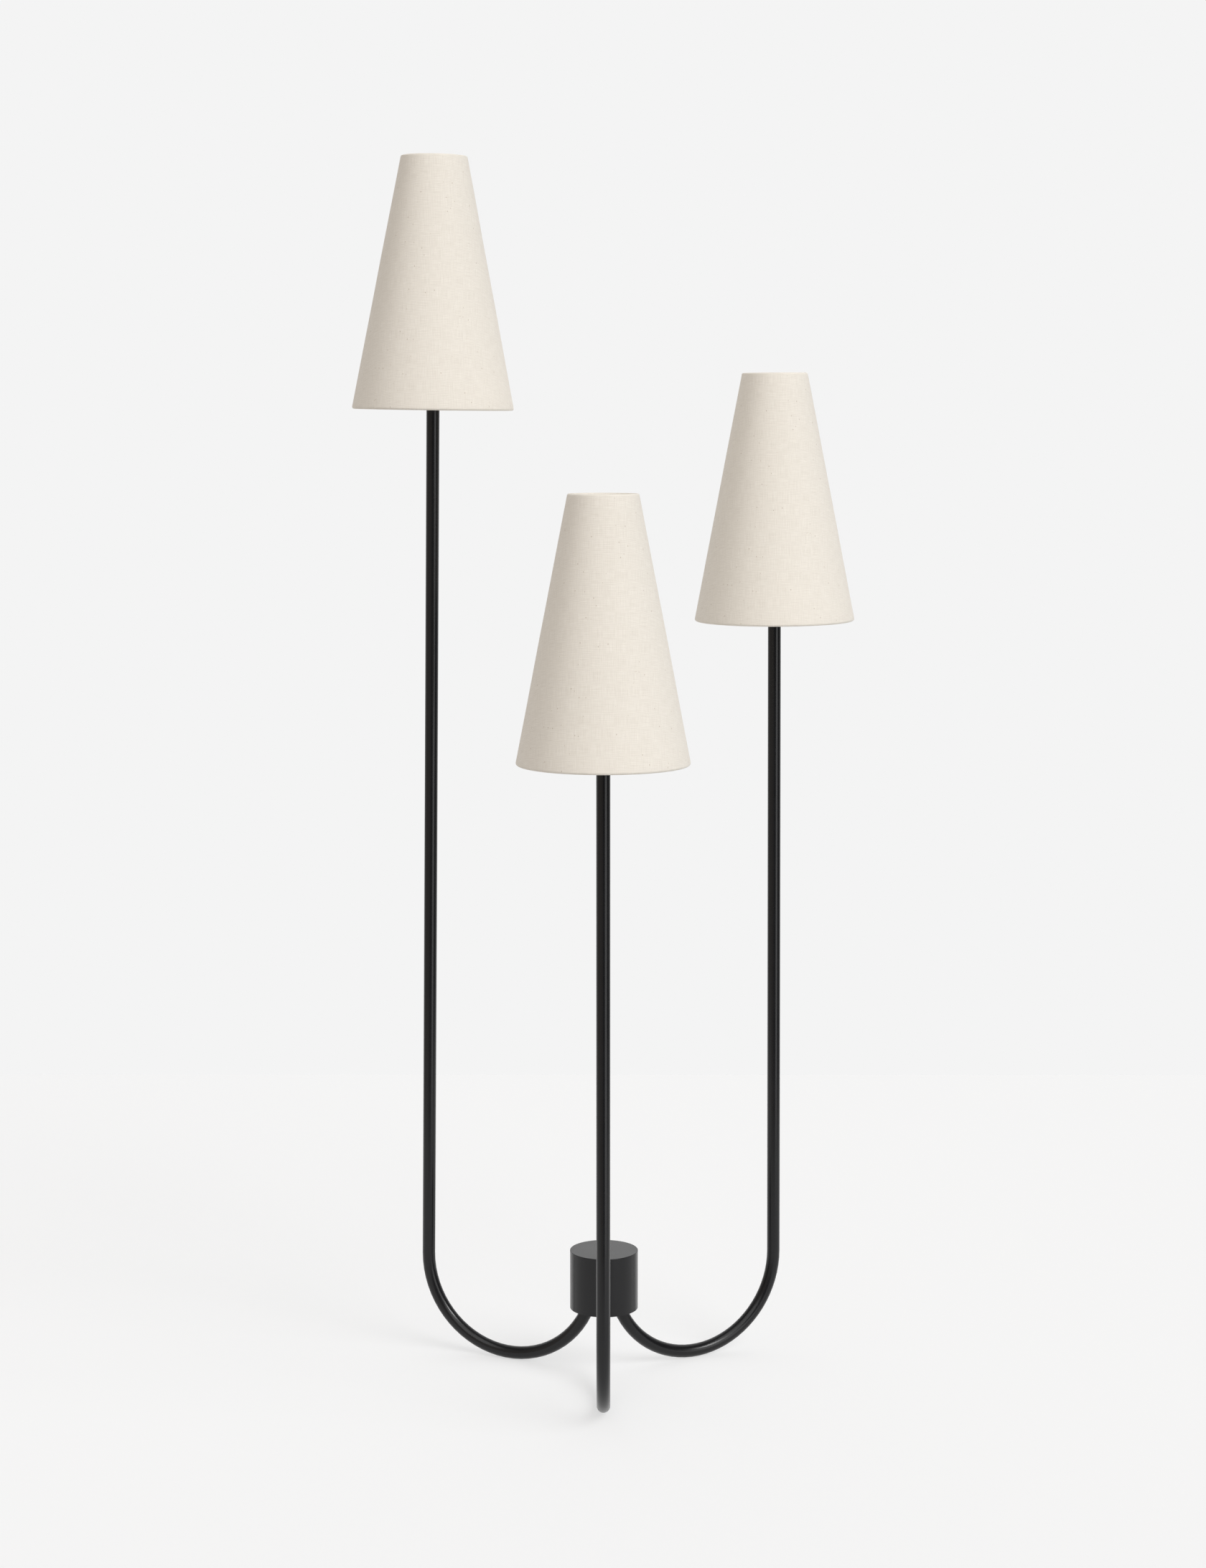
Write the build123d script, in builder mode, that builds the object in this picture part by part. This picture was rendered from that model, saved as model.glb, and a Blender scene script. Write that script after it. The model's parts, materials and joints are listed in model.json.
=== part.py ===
from build123d import *
import os
from math import atan2, cos, degrees, radians, sin, sqrt

# Tree floor lamp in millimetres, +Z up. The origin is on the floor under the hub's axis, and the
# shortest arm stands towards -Y. Three bent tubes rise from one round hub and carry cone shades.

# --- Where each arm stands: its angle about the hub from +X, the height of its shade's hem above
# --- the floor, and how far its upright leg leans in over the hub.
left_angle = 157.0
left_hem_height = 1186.0
left_lean = 0.8
right_angle = 27.0
right_hem_height = 927.0
right_lean = 0.4
front_angle = -90.0
front_hem_height = 790.0
front_lean = 0.3

# --- Arm tubes. The bend is half a circle, and its underside stands on the floor.
tube_radius = 8.0
tube_wall = 1.5
arm_reach = 242.0  # from the hub's axis to the upright leg's axis, where the bend begins
stub_reach = 13.0  # from the hub's axis to the short leg's axis, where the bend ends
stub_height = 2.0  # straight end that stands out of the arm plate

# --- Hub.
hub_radius = 42.0
hub_height = 73.0
hub_headroom = 31.0  # above the arm plate, for the terminal block and its leads
hub_wall = 2.0
hub_top_thickness = 2.5
hub_edge_radius = 0.5
plate_clearance = 0.2  # between the shell and the two plates in it
bottom_plate_thickness = 3.0
bottom_slot_clearance = 0.8
arm_plate_thickness = 14.0
arm_slot_clearance = 0.1

# --- Fasteners in the hub.
thread_clearance = 0.05
tie_bolt_radius = 2.5
tie_bolt_head_radius = 5.0
tie_bolt_thread_length = 18.0  # inside the shell's post
tie_bolt_hole_clearance = 0.3
post_clearance = 0.3  # between the tubes and the shell's post
spacer_clearance = 0.5
grub_screw_radius = 2.5
grub_screw_length = 12.0
hex_socket_share = 0.55  # a socket's size, as a share of its screw's radius
socket_depth = 2.0
earth_screw_radius = 2.0
earth_screw_length = 9.0
earth_head_radius = 3.8
earth_head_height = 2.6
earth_reach = 27.0
earth_angle = -31.0
screw_slot_width = 0.8
screw_slot_depth = 0.9

# --- Wiring in the hub: terminal block, leads and cord bush.
lead_radius = 2.0
lead_hole_clearance = 0.3
lead_bend_radius = 6.5
terminal_width = 34.0
terminal_depth = 14.0
terminal_height = 20.0
terminal_front = 15.5  # distance of the block's front face from the hub's axis
terminal_entry_depth = 5.0
low_entry_rise = 8.5  # of the outer leads' entries above the arm plate
high_entry_rise = 13.5  # of the middle lead's entry
high_entry_side = 8.8  # the middle lead passes the post at this distance
terminal_screw_radius = 2.2
terminal_screw_height = 4.0
terminal_screw_spread = 12.5
terminal_screw_row = 7.5
fixing_screw_radius = 1.5
fixing_screw_depth = 6.0  # in the arm plate
fixing_head_radius = 2.8
fixing_head_height = 2.0
bush_flange_radius = 7.5
bush_flange_thickness = 2.2
bush_body_radius = 5.4
bush_barb_radius = 6.2
bush_barb_length = 2.5
bush_bore_radius = 3.6
bush_hole_clearance = 0.1
bush_rise = 9.5  # of the cord bush's axis above the arm plate
end_bush_length = 3.5
end_bush_flange = 1.2
end_bush_clearance = 0.1

# --- Lampholder. Heights are measured along the arm from its top end.
spigot_radius = 4.9
spigot_bore_radius = 3.0
spigot_depth = 16.0  # brazed into the tube
spigot_rise = 8.5
spigot_clearance = 0.1
nut_flats = 15.0
nut_thickness = 4.0
cap_radius = 18.5
cap_height = 20.0
cap_wall = 1.2
cap_round = 8.0
shell_gap = 0.05  # between cap and shell
shell_wall = 0.9
shell_start = 12.0
seat_height = 36.0
seat_radius = 22.5
seat_thickness = 2.5
skirt_radius = 19.6  # over the thread for the ring nut
skirt_top = 56.0
core_gap = 0.15
core_start = 9.0
core_top = 32.0
screw_shell_bore = 13.5
screw_shell_wall = 0.6
screw_shell_top = 55.0
screw_shell_hole = 7.0
contact_radius = 3.5
contact_thickness = 2.0

# --- Switch knob on the lampholder's outer side.
knob_height = 24.0
knob_shaft_radius = 2.2
knob_shaft_start = 8.0
knob_shaft_clearance = 0.1
knob_slot_clearance = 0.6
knob_start = 19.2
knob_length = 11.0
knob_width = 12.0
knob_thickness = 6.4
knob_edge_radius = 0.8

# --- Bulb with a screw cap.
bulb_gap = 0.3  # between the solder tip and the centre contact
tip_radius = 4.4
tip_height = 2.0
bulb_cap_radius = 13.1
bulb_cap_top = 58.0
bulb_cap_cone_height = 4.0
glass_neck_radius = 12.2
glass_neck_start = 50.0
glass_neck_top = 62.0
glass_radius = 17.5  # at its widest; the curve gives shares of it and heights
glass_curve = [(0.94, 74.0), (1.0, 85.0), (0.9, 100.0), (0.64, 117.0), (0.36, 128.0)]
glass_top = 134.0
glass_wall = 1.0

# --- Shade: cover cloth over a stiff lining, two wire rings, and a spider that sits on the seat.
socket_rise = 40.0  # of the arm's top end above the shade's hem
shade_bottom_radius = 98.5
shade_top_radius = 40.5
shade_height = 304.0
cloth_thickness = 0.9
lining_thickness = 0.6
ring_wire_radius = 1.3
ring_gap = 0.3
bottom_wrap_end = 195.0  # where the cloth's rolled hem ends on the ring, in degrees
top_wrap_end = 185.0
fitter_hole_radius = 20.6
fitter_radius = 27.5
fitter_thickness = 1.5
spoke_radius = 1.5
spoke_start = 25.3
spoke_bend_reach = 33.0
spoke_bend_radius = 8.0
spoke_count = 3
ring_nut_clearance = 0.3
ring_nut_radius = 25.0
ring_nut_height = 7.0
ring_nut_groove_count = 24
ring_nut_groove_radius = 0.8

# --- Worked out from the sizes above.
plate_radius = hub_radius - hub_wall - plate_clearance
bend_radius = (arm_reach - stub_reach) / 2  # of the tube's axis
bend_centre_reach = arm_reach - bend_radius
bend_centre_height = bend_radius + tube_radius
post_radius = stub_reach - tube_radius - post_clearance
spacer_radius = stub_reach - tube_radius - spacer_clearance
arm_plate_top = bend_centre_height
hub_inside_top = arm_plate_top + hub_headroom
hub_bottom = hub_inside_top + hub_top_thickness - hub_height
arm_plate_bottom = arm_plate_top - arm_plate_thickness
bottom_plate_top = hub_bottom + bottom_plate_thickness
tube_bore_radius = tube_radius - tube_wall
grub_screw_height = arm_plate_top - arm_plate_thickness / 2
bush_barb_depth = hub_radius - sqrt((hub_radius - hub_wall) ** 2 - bush_barb_radius**2)
terminal_top = arm_plate_top + terminal_height
terminal_middle = terminal_front + terminal_depth / 2
fitter_start = seat_height + seat_thickness
fitter_top = fitter_start + fitter_thickness
shell_radius = cap_radius - cap_wall - shell_gap
shell_bore_radius = shell_radius - shell_wall
core_radius = shell_bore_radius - core_gap
tip_start = core_top + contact_thickness + bulb_gap
bulb_cap_start = tip_start + tip_height
roll_radius = ring_wire_radius + ring_gap + cloth_thickness
bottom_ring = Vector(shade_bottom_radius - roll_radius, roll_radius - socket_rise)
top_ring = Vector(shade_top_radius - roll_radius, shade_height - roll_radius - socket_rise)
cone_angle = degrees(atan2(bottom_ring.X - top_ring.X, top_ring.Y - bottom_ring.Y))
cone_normal = Vector(cos(radians(cone_angle)), sin(radians(cone_angle)))
cone_line = Vector(-sin(radians(cone_angle)), cos(radians(cone_angle)))


def leg_reach(height):
    """Distance from the hub's axis to the short leg's axis, at a height above the floor."""
    return bend_centre_reach - sqrt(bend_radius**2 - (bend_centre_height - height) ** 2)


class Arm:
    """Where one arm stands, and the planes that its pieces are drawn on."""

    def __init__(self, name, angle, hem_height, lean):
        self.name = name
        self.angle = angle
        self.lean = lean
        self.outward = Vector(cos(radians(angle)), sin(radians(angle)), 0)
        # Radial section of the lamp: x runs outwards from the hub's axis, y runs up.
        self.section = Plane(origin=(0, 0, 0), x_dir=self.outward, z_dir=self.outward.cross(Vector(0, 0, 1)))
        self.bend_centre = self.section.from_local_coords(Vector(bend_centre_reach, bend_centre_height))
        across = Vector(cos(radians(lean)), sin(radians(lean)))
        along = Vector(-sin(radians(lean)), cos(radians(lean)))
        foot = Vector(bend_centre_reach, bend_centre_height) + across * bend_radius
        self.leg_length = (hem_height - foot.Y) / along.Y + socket_rise
        self.x_dir = self.outward * across.X + Vector(0, 0, across.Y)
        self.z_dir = self.outward * along.X + Vector(0, 0, along.Y)
        # The head plane lies on the arm's top end, and the head section stands in the leg's axis.
        head_origin = self.section.from_local_coords(foot) + self.z_dir * self.leg_length
        self.head = Plane(origin=head_origin, x_dir=self.x_dir, z_dir=self.z_dir)
        self.head_section = Plane(origin=head_origin, x_dir=self.x_dir, z_dir=self.x_dir.cross(self.z_dir))
        self.axis = Axis(head_origin, self.z_dir)
        self.foot = self.head.offset(-self.leg_length)
        self.stub = Plane(origin=self.outward * stub_reach + Vector(0, 0, arm_plate_top))


arms = [
    Arm("left", left_angle, left_hem_height, left_lean),
    Arm("right", right_angle, right_hem_height, right_lean),
    Arm("front", front_angle, front_hem_height, front_lean),
]
upright_section = Plane.XZ
upright_axis = Axis.Z

os.makedirs("parts", exist_ok=True)


def save(piece, name):
    """Labels a finished piece and writes it."""
    piece.part.label = name
    export_step(piece.part, f"parts/{name}.step")


def turn(section, corners, mode=Mode.ADD):
    """Revolves an outline of (radius, height) corners about the section's upright axis."""
    with BuildSketch(section) as outline:
        with BuildLine():
            Polyline(*corners, close=True)
        make_face()
    revolve(outline.sketch, axis=Axis(section.origin, section.y_dir), mode=mode)


def tube_ring(plane, outer, inner, mode=Mode.ADD):
    """Draws a ring on a plane and returns it."""
    with BuildSketch(plane, mode=Mode.PRIVATE) as ring:
        Circle(outer)
        Circle(inner, mode=Mode.SUBTRACT)
    return ring.sketch


def arm_slots(height, inner_reach, outer_reach, slot_radius):
    """Radial slots for the three short legs, drawn at a height above the floor."""
    middle = (inner_reach + outer_reach) / 2
    with BuildSketch(Plane.XY.offset(height)) as slots:
        for arm in arms:
            with Locations(Location(arm.outward * middle, (0, 0, arm.angle))):
                SlotCenterToCenter(outer_reach - inner_reach, 2 * slot_radius)
    return slots.sketch


# Arm tubes: upright leg, half-circle bend and the stub in the arm plate.
for arm in arms:
    with BuildPart() as arm_tube:
        extrude(tube_ring(arm.head, tube_radius, tube_bore_radius), amount=-arm.leg_length)
        revolve(
            tube_ring(arm.foot, tube_radius, tube_bore_radius),
            axis=Axis(arm.bend_centre, -arm.section.z_dir),
            revolution_arc=180 + arm.lean,
        )
        extrude(tube_ring(arm.stub, tube_radius, tube_bore_radius), amount=stub_height)
    save(arm_tube, f"arm_{arm.name}")

# Hub shell: a can that is open below, with a tapped post under its top.
cord_axis_plane = Plane(origin=(0, hub_radius, arm_plate_top + bush_rise), x_dir=(1, 0, 0), z_dir=(0, 1, 0))
with BuildPart() as hub_shell:
    with BuildSketch(Plane.XY.offset(hub_bottom)):
        Circle(hub_radius)
    extrude(amount=hub_height)
    fillet(hub_shell.edges().filter_by(GeomType.CIRCLE).sort_by(Axis.Z)[-1], hub_edge_radius)
    with BuildSketch(Plane.XY.offset(hub_bottom)):
        Circle(hub_radius - hub_wall)
    extrude(amount=hub_height - hub_top_thickness, mode=Mode.SUBTRACT)
    with BuildSketch(Plane.XY.offset(arm_plate_top)):
        Circle(post_radius)
    extrude(amount=hub_inside_top - arm_plate_top)
    with BuildSketch(Plane.XY.offset(arm_plate_top)):
        Circle(tie_bolt_radius + thread_clearance)
    extrude(amount=tie_bolt_thread_length + socket_depth, mode=Mode.SUBTRACT)
    with BuildSketch(cord_axis_plane):
        Circle(bush_body_radius + bush_hole_clearance)
    extrude(amount=-2 * hub_wall, mode=Mode.SUBTRACT)
save(hub_shell, "hub_shell")

# Bottom plate: closes the shell below, with a slot for each arm and a countersunk hole.
countersink_depth = tie_bolt_head_radius - tie_bolt_radius
with BuildPart() as bottom_plate:
    with BuildSketch(Plane.XY.offset(hub_bottom)):
        Circle(plate_radius)
        Circle(tie_bolt_radius + tie_bolt_hole_clearance, mode=Mode.SUBTRACT)
    extrude(amount=bottom_plate_thickness)
    extrude(
        arm_slots(
            hub_bottom,
            leg_reach(bottom_plate_top),
            leg_reach(hub_bottom),
            tube_radius + bottom_slot_clearance,
        ),
        amount=bottom_plate_thickness,
        mode=Mode.SUBTRACT,
    )
    turn(
        upright_section,
        [
            (0, hub_bottom),
            (tie_bolt_head_radius + tie_bolt_hole_clearance, hub_bottom),
            (0, hub_bottom + tie_bolt_head_radius + tie_bolt_hole_clearance),
        ],
        mode=Mode.SUBTRACT,
    )
save(bottom_plate, "bottom_plate")

# Arm plate: holds the three short legs in milled slots, each clamped by a grub screw.
earth_spot = Vector(earth_reach * cos(radians(earth_angle)), earth_reach * sin(radians(earth_angle)))
fixing_spot = Vector(0, terminal_middle)
with BuildPart() as arm_plate:
    with BuildSketch(Plane.XY.offset(arm_plate_bottom)):
        Circle(plate_radius)
        Circle(tie_bolt_radius + tie_bolt_hole_clearance, mode=Mode.SUBTRACT)
    extrude(amount=arm_plate_thickness)
    extrude(
        arm_slots(
            arm_plate_bottom,
            stub_reach,
            leg_reach(arm_plate_bottom),
            tube_radius + arm_slot_clearance,
        ),
        amount=arm_plate_thickness,
        mode=Mode.SUBTRACT,
    )
    for arm in arms:
        rim = Plane(origin=arm.outward * plate_radius + Vector(0, 0, grub_screw_height), z_dir=-arm.outward)
        with BuildSketch(rim):
            Circle(grub_screw_radius + thread_clearance)
        extrude(amount=plate_radius - stub_reach - tube_radius, mode=Mode.SUBTRACT)
    with BuildSketch(Plane.XY.offset(arm_plate_top)):
        with Locations(earth_spot):
            Circle(earth_screw_radius + thread_clearance)
    extrude(amount=-earth_screw_length, mode=Mode.SUBTRACT)
    with BuildSketch(Plane.XY.offset(arm_plate_top)):
        with Locations(fixing_spot):
            Circle(fixing_screw_radius + thread_clearance)
    extrude(amount=-fixing_screw_depth, mode=Mode.SUBTRACT)
save(arm_plate, "arm_plate")

# Grub screws: one for each arm, with a hexagon socket in its outer end.
grub_tip_reach = leg_reach(grub_screw_height - grub_screw_radius) + tube_radius
with BuildPart() as grub_screws:
    for arm in arms:
        tip = Plane(origin=arm.outward * grub_tip_reach + Vector(0, 0, grub_screw_height), z_dir=arm.outward)
        with BuildSketch(tip):
            Circle(grub_screw_radius)
        extrude(amount=grub_screw_length)
        with BuildSketch(tip.offset(grub_screw_length)):
            RegularPolygon(grub_screw_radius * hex_socket_share, 6)
        extrude(amount=-socket_depth, mode=Mode.SUBTRACT)
save(grub_screws, "arm_grub_screws")

# Tie bolt: clamps bottom plate, spacer, arm plate and the shell's post in one stack.
with BuildPart() as tie_bolt:
    turn(
        upright_section,
        [
            (0, hub_bottom),
            (tie_bolt_head_radius, hub_bottom),
            (tie_bolt_radius, hub_bottom + countersink_depth),
            (tie_bolt_radius, arm_plate_top + tie_bolt_thread_length),
            (0, arm_plate_top + tie_bolt_thread_length),
        ],
    )
    with BuildSketch(Plane.XY.offset(hub_bottom)):
        RegularPolygon(tie_bolt_head_radius * hex_socket_share, 6)
    extrude(amount=socket_depth, mode=Mode.SUBTRACT)
save(tie_bolt, "tie_bolt")

with BuildPart() as tie_spacer:
    extrude(
        tube_ring(
            Plane.XY.offset(bottom_plate_top),
            spacer_radius,
            tie_bolt_radius + tie_bolt_hole_clearance,
        ),
        amount=arm_plate_bottom - bottom_plate_top,
    )
save(tie_spacer, "tie_spacer")

# Terminal block: joins the three leads to the supply cord's cores.
low_entry_height = arm_plate_top + low_entry_rise
high_entry_height = arm_plate_top + high_entry_rise
lead_entries = {
    "left": (arms[0].outward.X * stub_reach, low_entry_height),
    "right": (arms[1].outward.X * stub_reach, low_entry_height),
    "front": (high_entry_side, high_entry_height),
}
terminal_front_plane = Plane(origin=(0, terminal_front, 0), x_dir=(1, 0, 0), z_dir=(0, -1, 0))
terminal_back_plane = Plane(origin=(0, terminal_front + terminal_depth, 0), x_dir=(1, 0, 0), z_dir=(0, -1, 0))
terminal_screw_spots = [
    (side * terminal_screw_spread, terminal_middle + row * terminal_screw_row / 2)
    for side in (-1, 1)
    for row in (-1, 1)
]
with BuildPart() as terminal_block:
    with BuildSketch(Plane.XY.offset(arm_plate_top)):
        with Locations((0, terminal_middle)):
            Rectangle(terminal_width, terminal_depth)
    extrude(amount=terminal_height)
    chamfer(terminal_block.edges().filter_by(Axis.Z), 1.0)
    with BuildSketch(terminal_front_plane):
        with Locations(*lead_entries.values()):
            Circle(lead_radius + lead_hole_clearance)
    extrude(amount=-terminal_entry_depth, mode=Mode.SUBTRACT)
    with BuildSketch(terminal_back_plane):
        with Locations((-terminal_screw_spread, low_entry_height), (terminal_screw_spread, low_entry_height)):
            Circle(lead_radius)
    extrude(amount=terminal_entry_depth, mode=Mode.SUBTRACT)
    with BuildSketch(Plane.XY.offset(terminal_top)):
        with Locations(*terminal_screw_spots):
            Circle(terminal_screw_radius + thread_clearance)
    extrude(amount=-terminal_screw_height - screw_slot_depth, mode=Mode.SUBTRACT)
    with BuildSketch(Plane.XY.offset(terminal_top)):
        with Locations(fixing_spot):
            Circle(fixing_screw_radius + thread_clearance)
    extrude(amount=-terminal_height, mode=Mode.SUBTRACT)
    with BuildSketch(Plane.XY.offset(terminal_top)):
        with Locations(fixing_spot):
            Circle(fixing_head_radius + lead_hole_clearance)
    extrude(amount=-fixing_head_height, mode=Mode.SUBTRACT)
save(terminal_block, "terminal_block")


def slotted_heads(spots, top, radius, height):
    """Adds round screw heads with a straight slot, their tops at one height."""
    with BuildSketch(Plane.XY.offset(top)) as heads:
        with Locations(*spots):
            Circle(radius)
    extrude(heads.sketch, amount=-height)
    with BuildSketch(Plane.XY.offset(top)) as slots:
        with Locations(*spots):
            Rectangle(2 * radius, screw_slot_width)
    extrude(slots.sketch, amount=-screw_slot_depth, mode=Mode.SUBTRACT)


with BuildPart() as terminal_screws:
    slotted_heads(
        terminal_screw_spots,
        terminal_top - screw_slot_depth,
        terminal_screw_radius,
        terminal_screw_height,
    )
save(terminal_screws, "terminal_screws")

with BuildPart() as fixing_screw:
    slotted_heads([fixing_spot], terminal_top, fixing_head_radius, fixing_head_height)
    with BuildSketch(Plane.XY.offset(terminal_top - fixing_head_height)):
        with Locations(fixing_spot):
            Circle(fixing_screw_radius)
    extrude(amount=fixing_head_height - terminal_height - fixing_screw_depth)
save(fixing_screw, "terminal_fixing_screw")

with BuildPart() as earth_screw:
    slotted_heads([earth_spot], arm_plate_top + earth_head_height, earth_head_radius, earth_head_height)
    with BuildSketch(Plane.XY.offset(arm_plate_top)):
        with Locations(earth_spot):
            Circle(earth_screw_radius)
    extrude(amount=-earth_screw_length)
save(earth_screw, "earth_screw")

# Cord bush: snaps into the shell's back wall, its flange hollowed to the shell's curve.
with BuildPart() as cord_bush:
    with BuildSketch(cord_axis_plane.offset(-hub_wall)):
        Circle(bush_flange_radius)
    extrude(amount=hub_wall + bush_flange_thickness)
    with BuildSketch(Plane.XY.offset(hub_bottom)):
        Circle(hub_radius)
    extrude(amount=hub_height, mode=Mode.SUBTRACT)
    with BuildSketch(cord_axis_plane):
        Circle(bush_body_radius)
    extrude(amount=-bush_barb_depth - bush_barb_length)
    with BuildSketch(cord_axis_plane.offset(-bush_barb_depth)):
        Circle(bush_barb_radius)
    extrude(amount=-bush_barb_length)
    with BuildSketch(cord_axis_plane.offset(bush_flange_thickness)):
        Circle(bush_bore_radius)
    extrude(amount=-bush_flange_thickness - bush_barb_depth - bush_barb_length, mode=Mode.SUBTRACT)
save(cord_bush, "cord_bush")

# End bushes: guard the leads where they leave the tubes.
with BuildPart() as end_bushes:
    for arm in arms:
        stub_end = arm.stub.offset(stub_height)
        extrude(tube_ring(stub_end, tube_radius, lead_radius + lead_hole_clearance), amount=end_bush_flange)
        extrude(
            tube_ring(stub_end, tube_bore_radius - end_bush_clearance, lead_radius + lead_hole_clearance),
            amount=-end_bush_length,
        )
save(end_bushes, "tube_end_bushes")

# Spigots: brazed into the tubes' top ends, threaded above them. Nuts hold the lampholder caps.
with BuildPart() as spigots:
    for arm in arms:
        turn(
            arm.head_section,
            [
                (spigot_bore_radius, -spigot_depth),
                (tube_bore_radius - shell_gap, -spigot_depth),
                (tube_bore_radius - shell_gap, 0),
                (spigot_radius, 0),
                (spigot_radius, spigot_rise),
                (spigot_bore_radius, spigot_rise),
            ],
        )
save(spigots, "spigots")

with BuildPart() as spigot_nuts:
    for arm in arms:
        with BuildSketch(arm.head.offset(cap_wall)):
            RegularPolygon(nut_flats / 2, 6, major_radius=False)
            Circle(spigot_radius + thread_clearance, mode=Mode.SUBTRACT)
        extrude(amount=nut_thickness)
save(spigot_nuts, "spigot_nuts")

with BuildPart() as centre_contacts:
    for arm in arms:
        with BuildSketch(arm.head.offset(core_top)):
            Circle(contact_radius)
        extrude(amount=contact_thickness)
save(centre_contacts, "centre_contacts")

for arm in arms:
    # Lead: one two-core cable from the lampholder's core down the tube to the terminal block.
    entry_side, entry_height = lead_entries[arm.name]
    lead_end = Vector(entry_side, terminal_front + terminal_entry_depth, entry_height)
    lead_start = arm.head.offset(core_start)
    stub_top = arm.stub.origin
    rising = Vector(stub_top.X, stub_top.Y, entry_height)
    passing = Vector(entry_side, 0, entry_height)
    corners = [stub_top, rising, passing, lead_end] if arm.name == "front" else [stub_top, rising, lead_end]
    with BuildPart() as lead:
        with BuildLine() as route:
            Line(lead_start.origin, arm.foot.origin)
            ThreePointArc(
                arm.foot.origin,
                arm.section.from_local_coords(Vector(bend_centre_reach, tube_radius)),
                stub_top,
            )
            FilletPolyline(*corners, radius=lead_bend_radius)
        with BuildSketch(lead_start):
            Circle(lead_radius)
        sweep(path=route.wires()[0])
    save(lead, f"lead_{arm.name}")

    # Lampholder cap: a rounded cup that sits on the tube's end.
    with BuildPart() as socket_cap:
        with BuildSketch(arm.head):
            Circle(cap_radius)
        extrude(amount=cap_height)
        fillet(socket_cap.edges().filter_by(GeomType.CIRCLE).sort_by(arm.axis)[0], cap_round)
        offset(amount=-cap_wall, openings=socket_cap.faces().sort_by(arm.axis)[-1])
        with BuildSketch(arm.head):
            Circle(spigot_radius + spigot_clearance)
        extrude(amount=cap_wall, mode=Mode.SUBTRACT)
    save(socket_cap, f"socket_cap_{arm.name}")

    # Lampholder shell: the seat for the shade's fitter ring, and the skirt for its ring nut.
    knob_plane = Plane(
        origin=arm.head.origin + arm.z_dir * knob_height,
        x_dir=arm.z_dir,
        z_dir=arm.x_dir,
    )
    with BuildPart() as socket_shell:
        turn(
            arm.head_section,
            [
                (shell_bore_radius, shell_start),
                (shell_radius, shell_start),
                (shell_radius, seat_height),
                (seat_radius, seat_height),
                (seat_radius, fitter_start),
                (skirt_radius, fitter_start),
                (skirt_radius, skirt_top),
                (shell_bore_radius, skirt_top),
            ],
        )
        with BuildSketch(knob_plane):
            Circle(knob_shaft_radius + knob_slot_clearance)
        extrude(amount=cap_radius, mode=Mode.SUBTRACT)
    save(socket_shell, f"socket_shell_{arm.name}")

    # Core: carries the screw shell and the centre contact, and the switch inside it.
    with BuildPart() as socket_core:
        with BuildSketch(arm.head.offset(core_start)):
            Circle(core_radius)
        extrude(amount=core_top - core_start)
        chamfer(socket_core.edges().filter_by(GeomType.CIRCLE).sort_by(arm.axis)[0], cap_wall)
        with BuildSketch(knob_plane.offset(knob_shaft_start)):
            Circle(knob_shaft_radius + knob_shaft_clearance)
        extrude(amount=core_radius, mode=Mode.SUBTRACT)
    save(socket_core, f"socket_core_{arm.name}")

    with BuildPart() as screw_shell:
        turn(
            arm.head_section,
            [
                (screw_shell_hole, core_top),
                (screw_shell_bore + screw_shell_wall, core_top),
                (screw_shell_bore + screw_shell_wall, screw_shell_top),
                (screw_shell_bore, screw_shell_top),
                (screw_shell_bore, core_top + screw_shell_wall),
                (screw_shell_hole, core_top + screw_shell_wall),
            ],
        )
    save(screw_shell, f"screw_shell_{arm.name}")

    # Switch knob: an oval grip on a round shaft that turns in the core.
    with BuildPart() as switch_knob:
        with BuildSketch(knob_plane.offset(knob_shaft_start)):
            Circle(knob_shaft_radius)
        extrude(amount=knob_start - knob_shaft_start)
        with BuildSketch(knob_plane.offset(knob_start)):
            Ellipse(knob_width / 2, knob_thickness / 2)
        extrude(amount=knob_length)
        fillet(switch_knob.faces().sort_by(Axis(knob_plane.origin, arm.x_dir))[-1].edges(), knob_edge_radius)
    save(switch_knob, f"switch_knob_{arm.name}")

    # Shade spider: fitter ring on the seat, three spokes down to the bottom ring.
    with BuildPart() as spider:
        extrude(
            tube_ring(arm.head.offset(fitter_start), fitter_radius, fitter_hole_radius),
            amount=fitter_thickness,
        )
        for spoke in range(spoke_count):
            spoke_dir = arm.x_dir.rotate(arm.axis, (spoke + 0.5) * 360 / spoke_count)
            spoke_section = Plane(
                origin=arm.head.origin,
                x_dir=spoke_dir,
                z_dir=spoke_dir.cross(arm.z_dir),
            )
            spoke_height = fitter_top - spoke_radius
            with BuildLine(spoke_section) as spoke_path:
                FilletPolyline(
                    (spoke_start, spoke_height),
                    (spoke_bend_reach, spoke_height),
                    (bottom_ring.X, bottom_ring.Y),
                    radius=spoke_bend_radius,
                )
            spoke_end = Plane(
                origin=spoke_section.from_local_coords(Vector(spoke_start, spoke_height)),
                z_dir=spoke_dir,
            )
            with BuildSketch(spoke_end):
                Circle(spoke_radius)
            sweep(path=spoke_path.wires()[0])
        with BuildSketch(arm.head_section) as bottom_wire:
            with Locations(bottom_ring):
                Circle(ring_wire_radius)
        revolve(axis=arm.axis, mode=Mode.SUBTRACT)
    save(spider, f"shade_spider_{arm.name}")

    with BuildPart() as shade_rings:
        with BuildSketch(arm.head_section):
            with Locations(bottom_ring, top_ring):
                Circle(ring_wire_radius)
        revolve(axis=arm.axis)
    save(shade_rings, f"shade_rings_{arm.name}")

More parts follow.
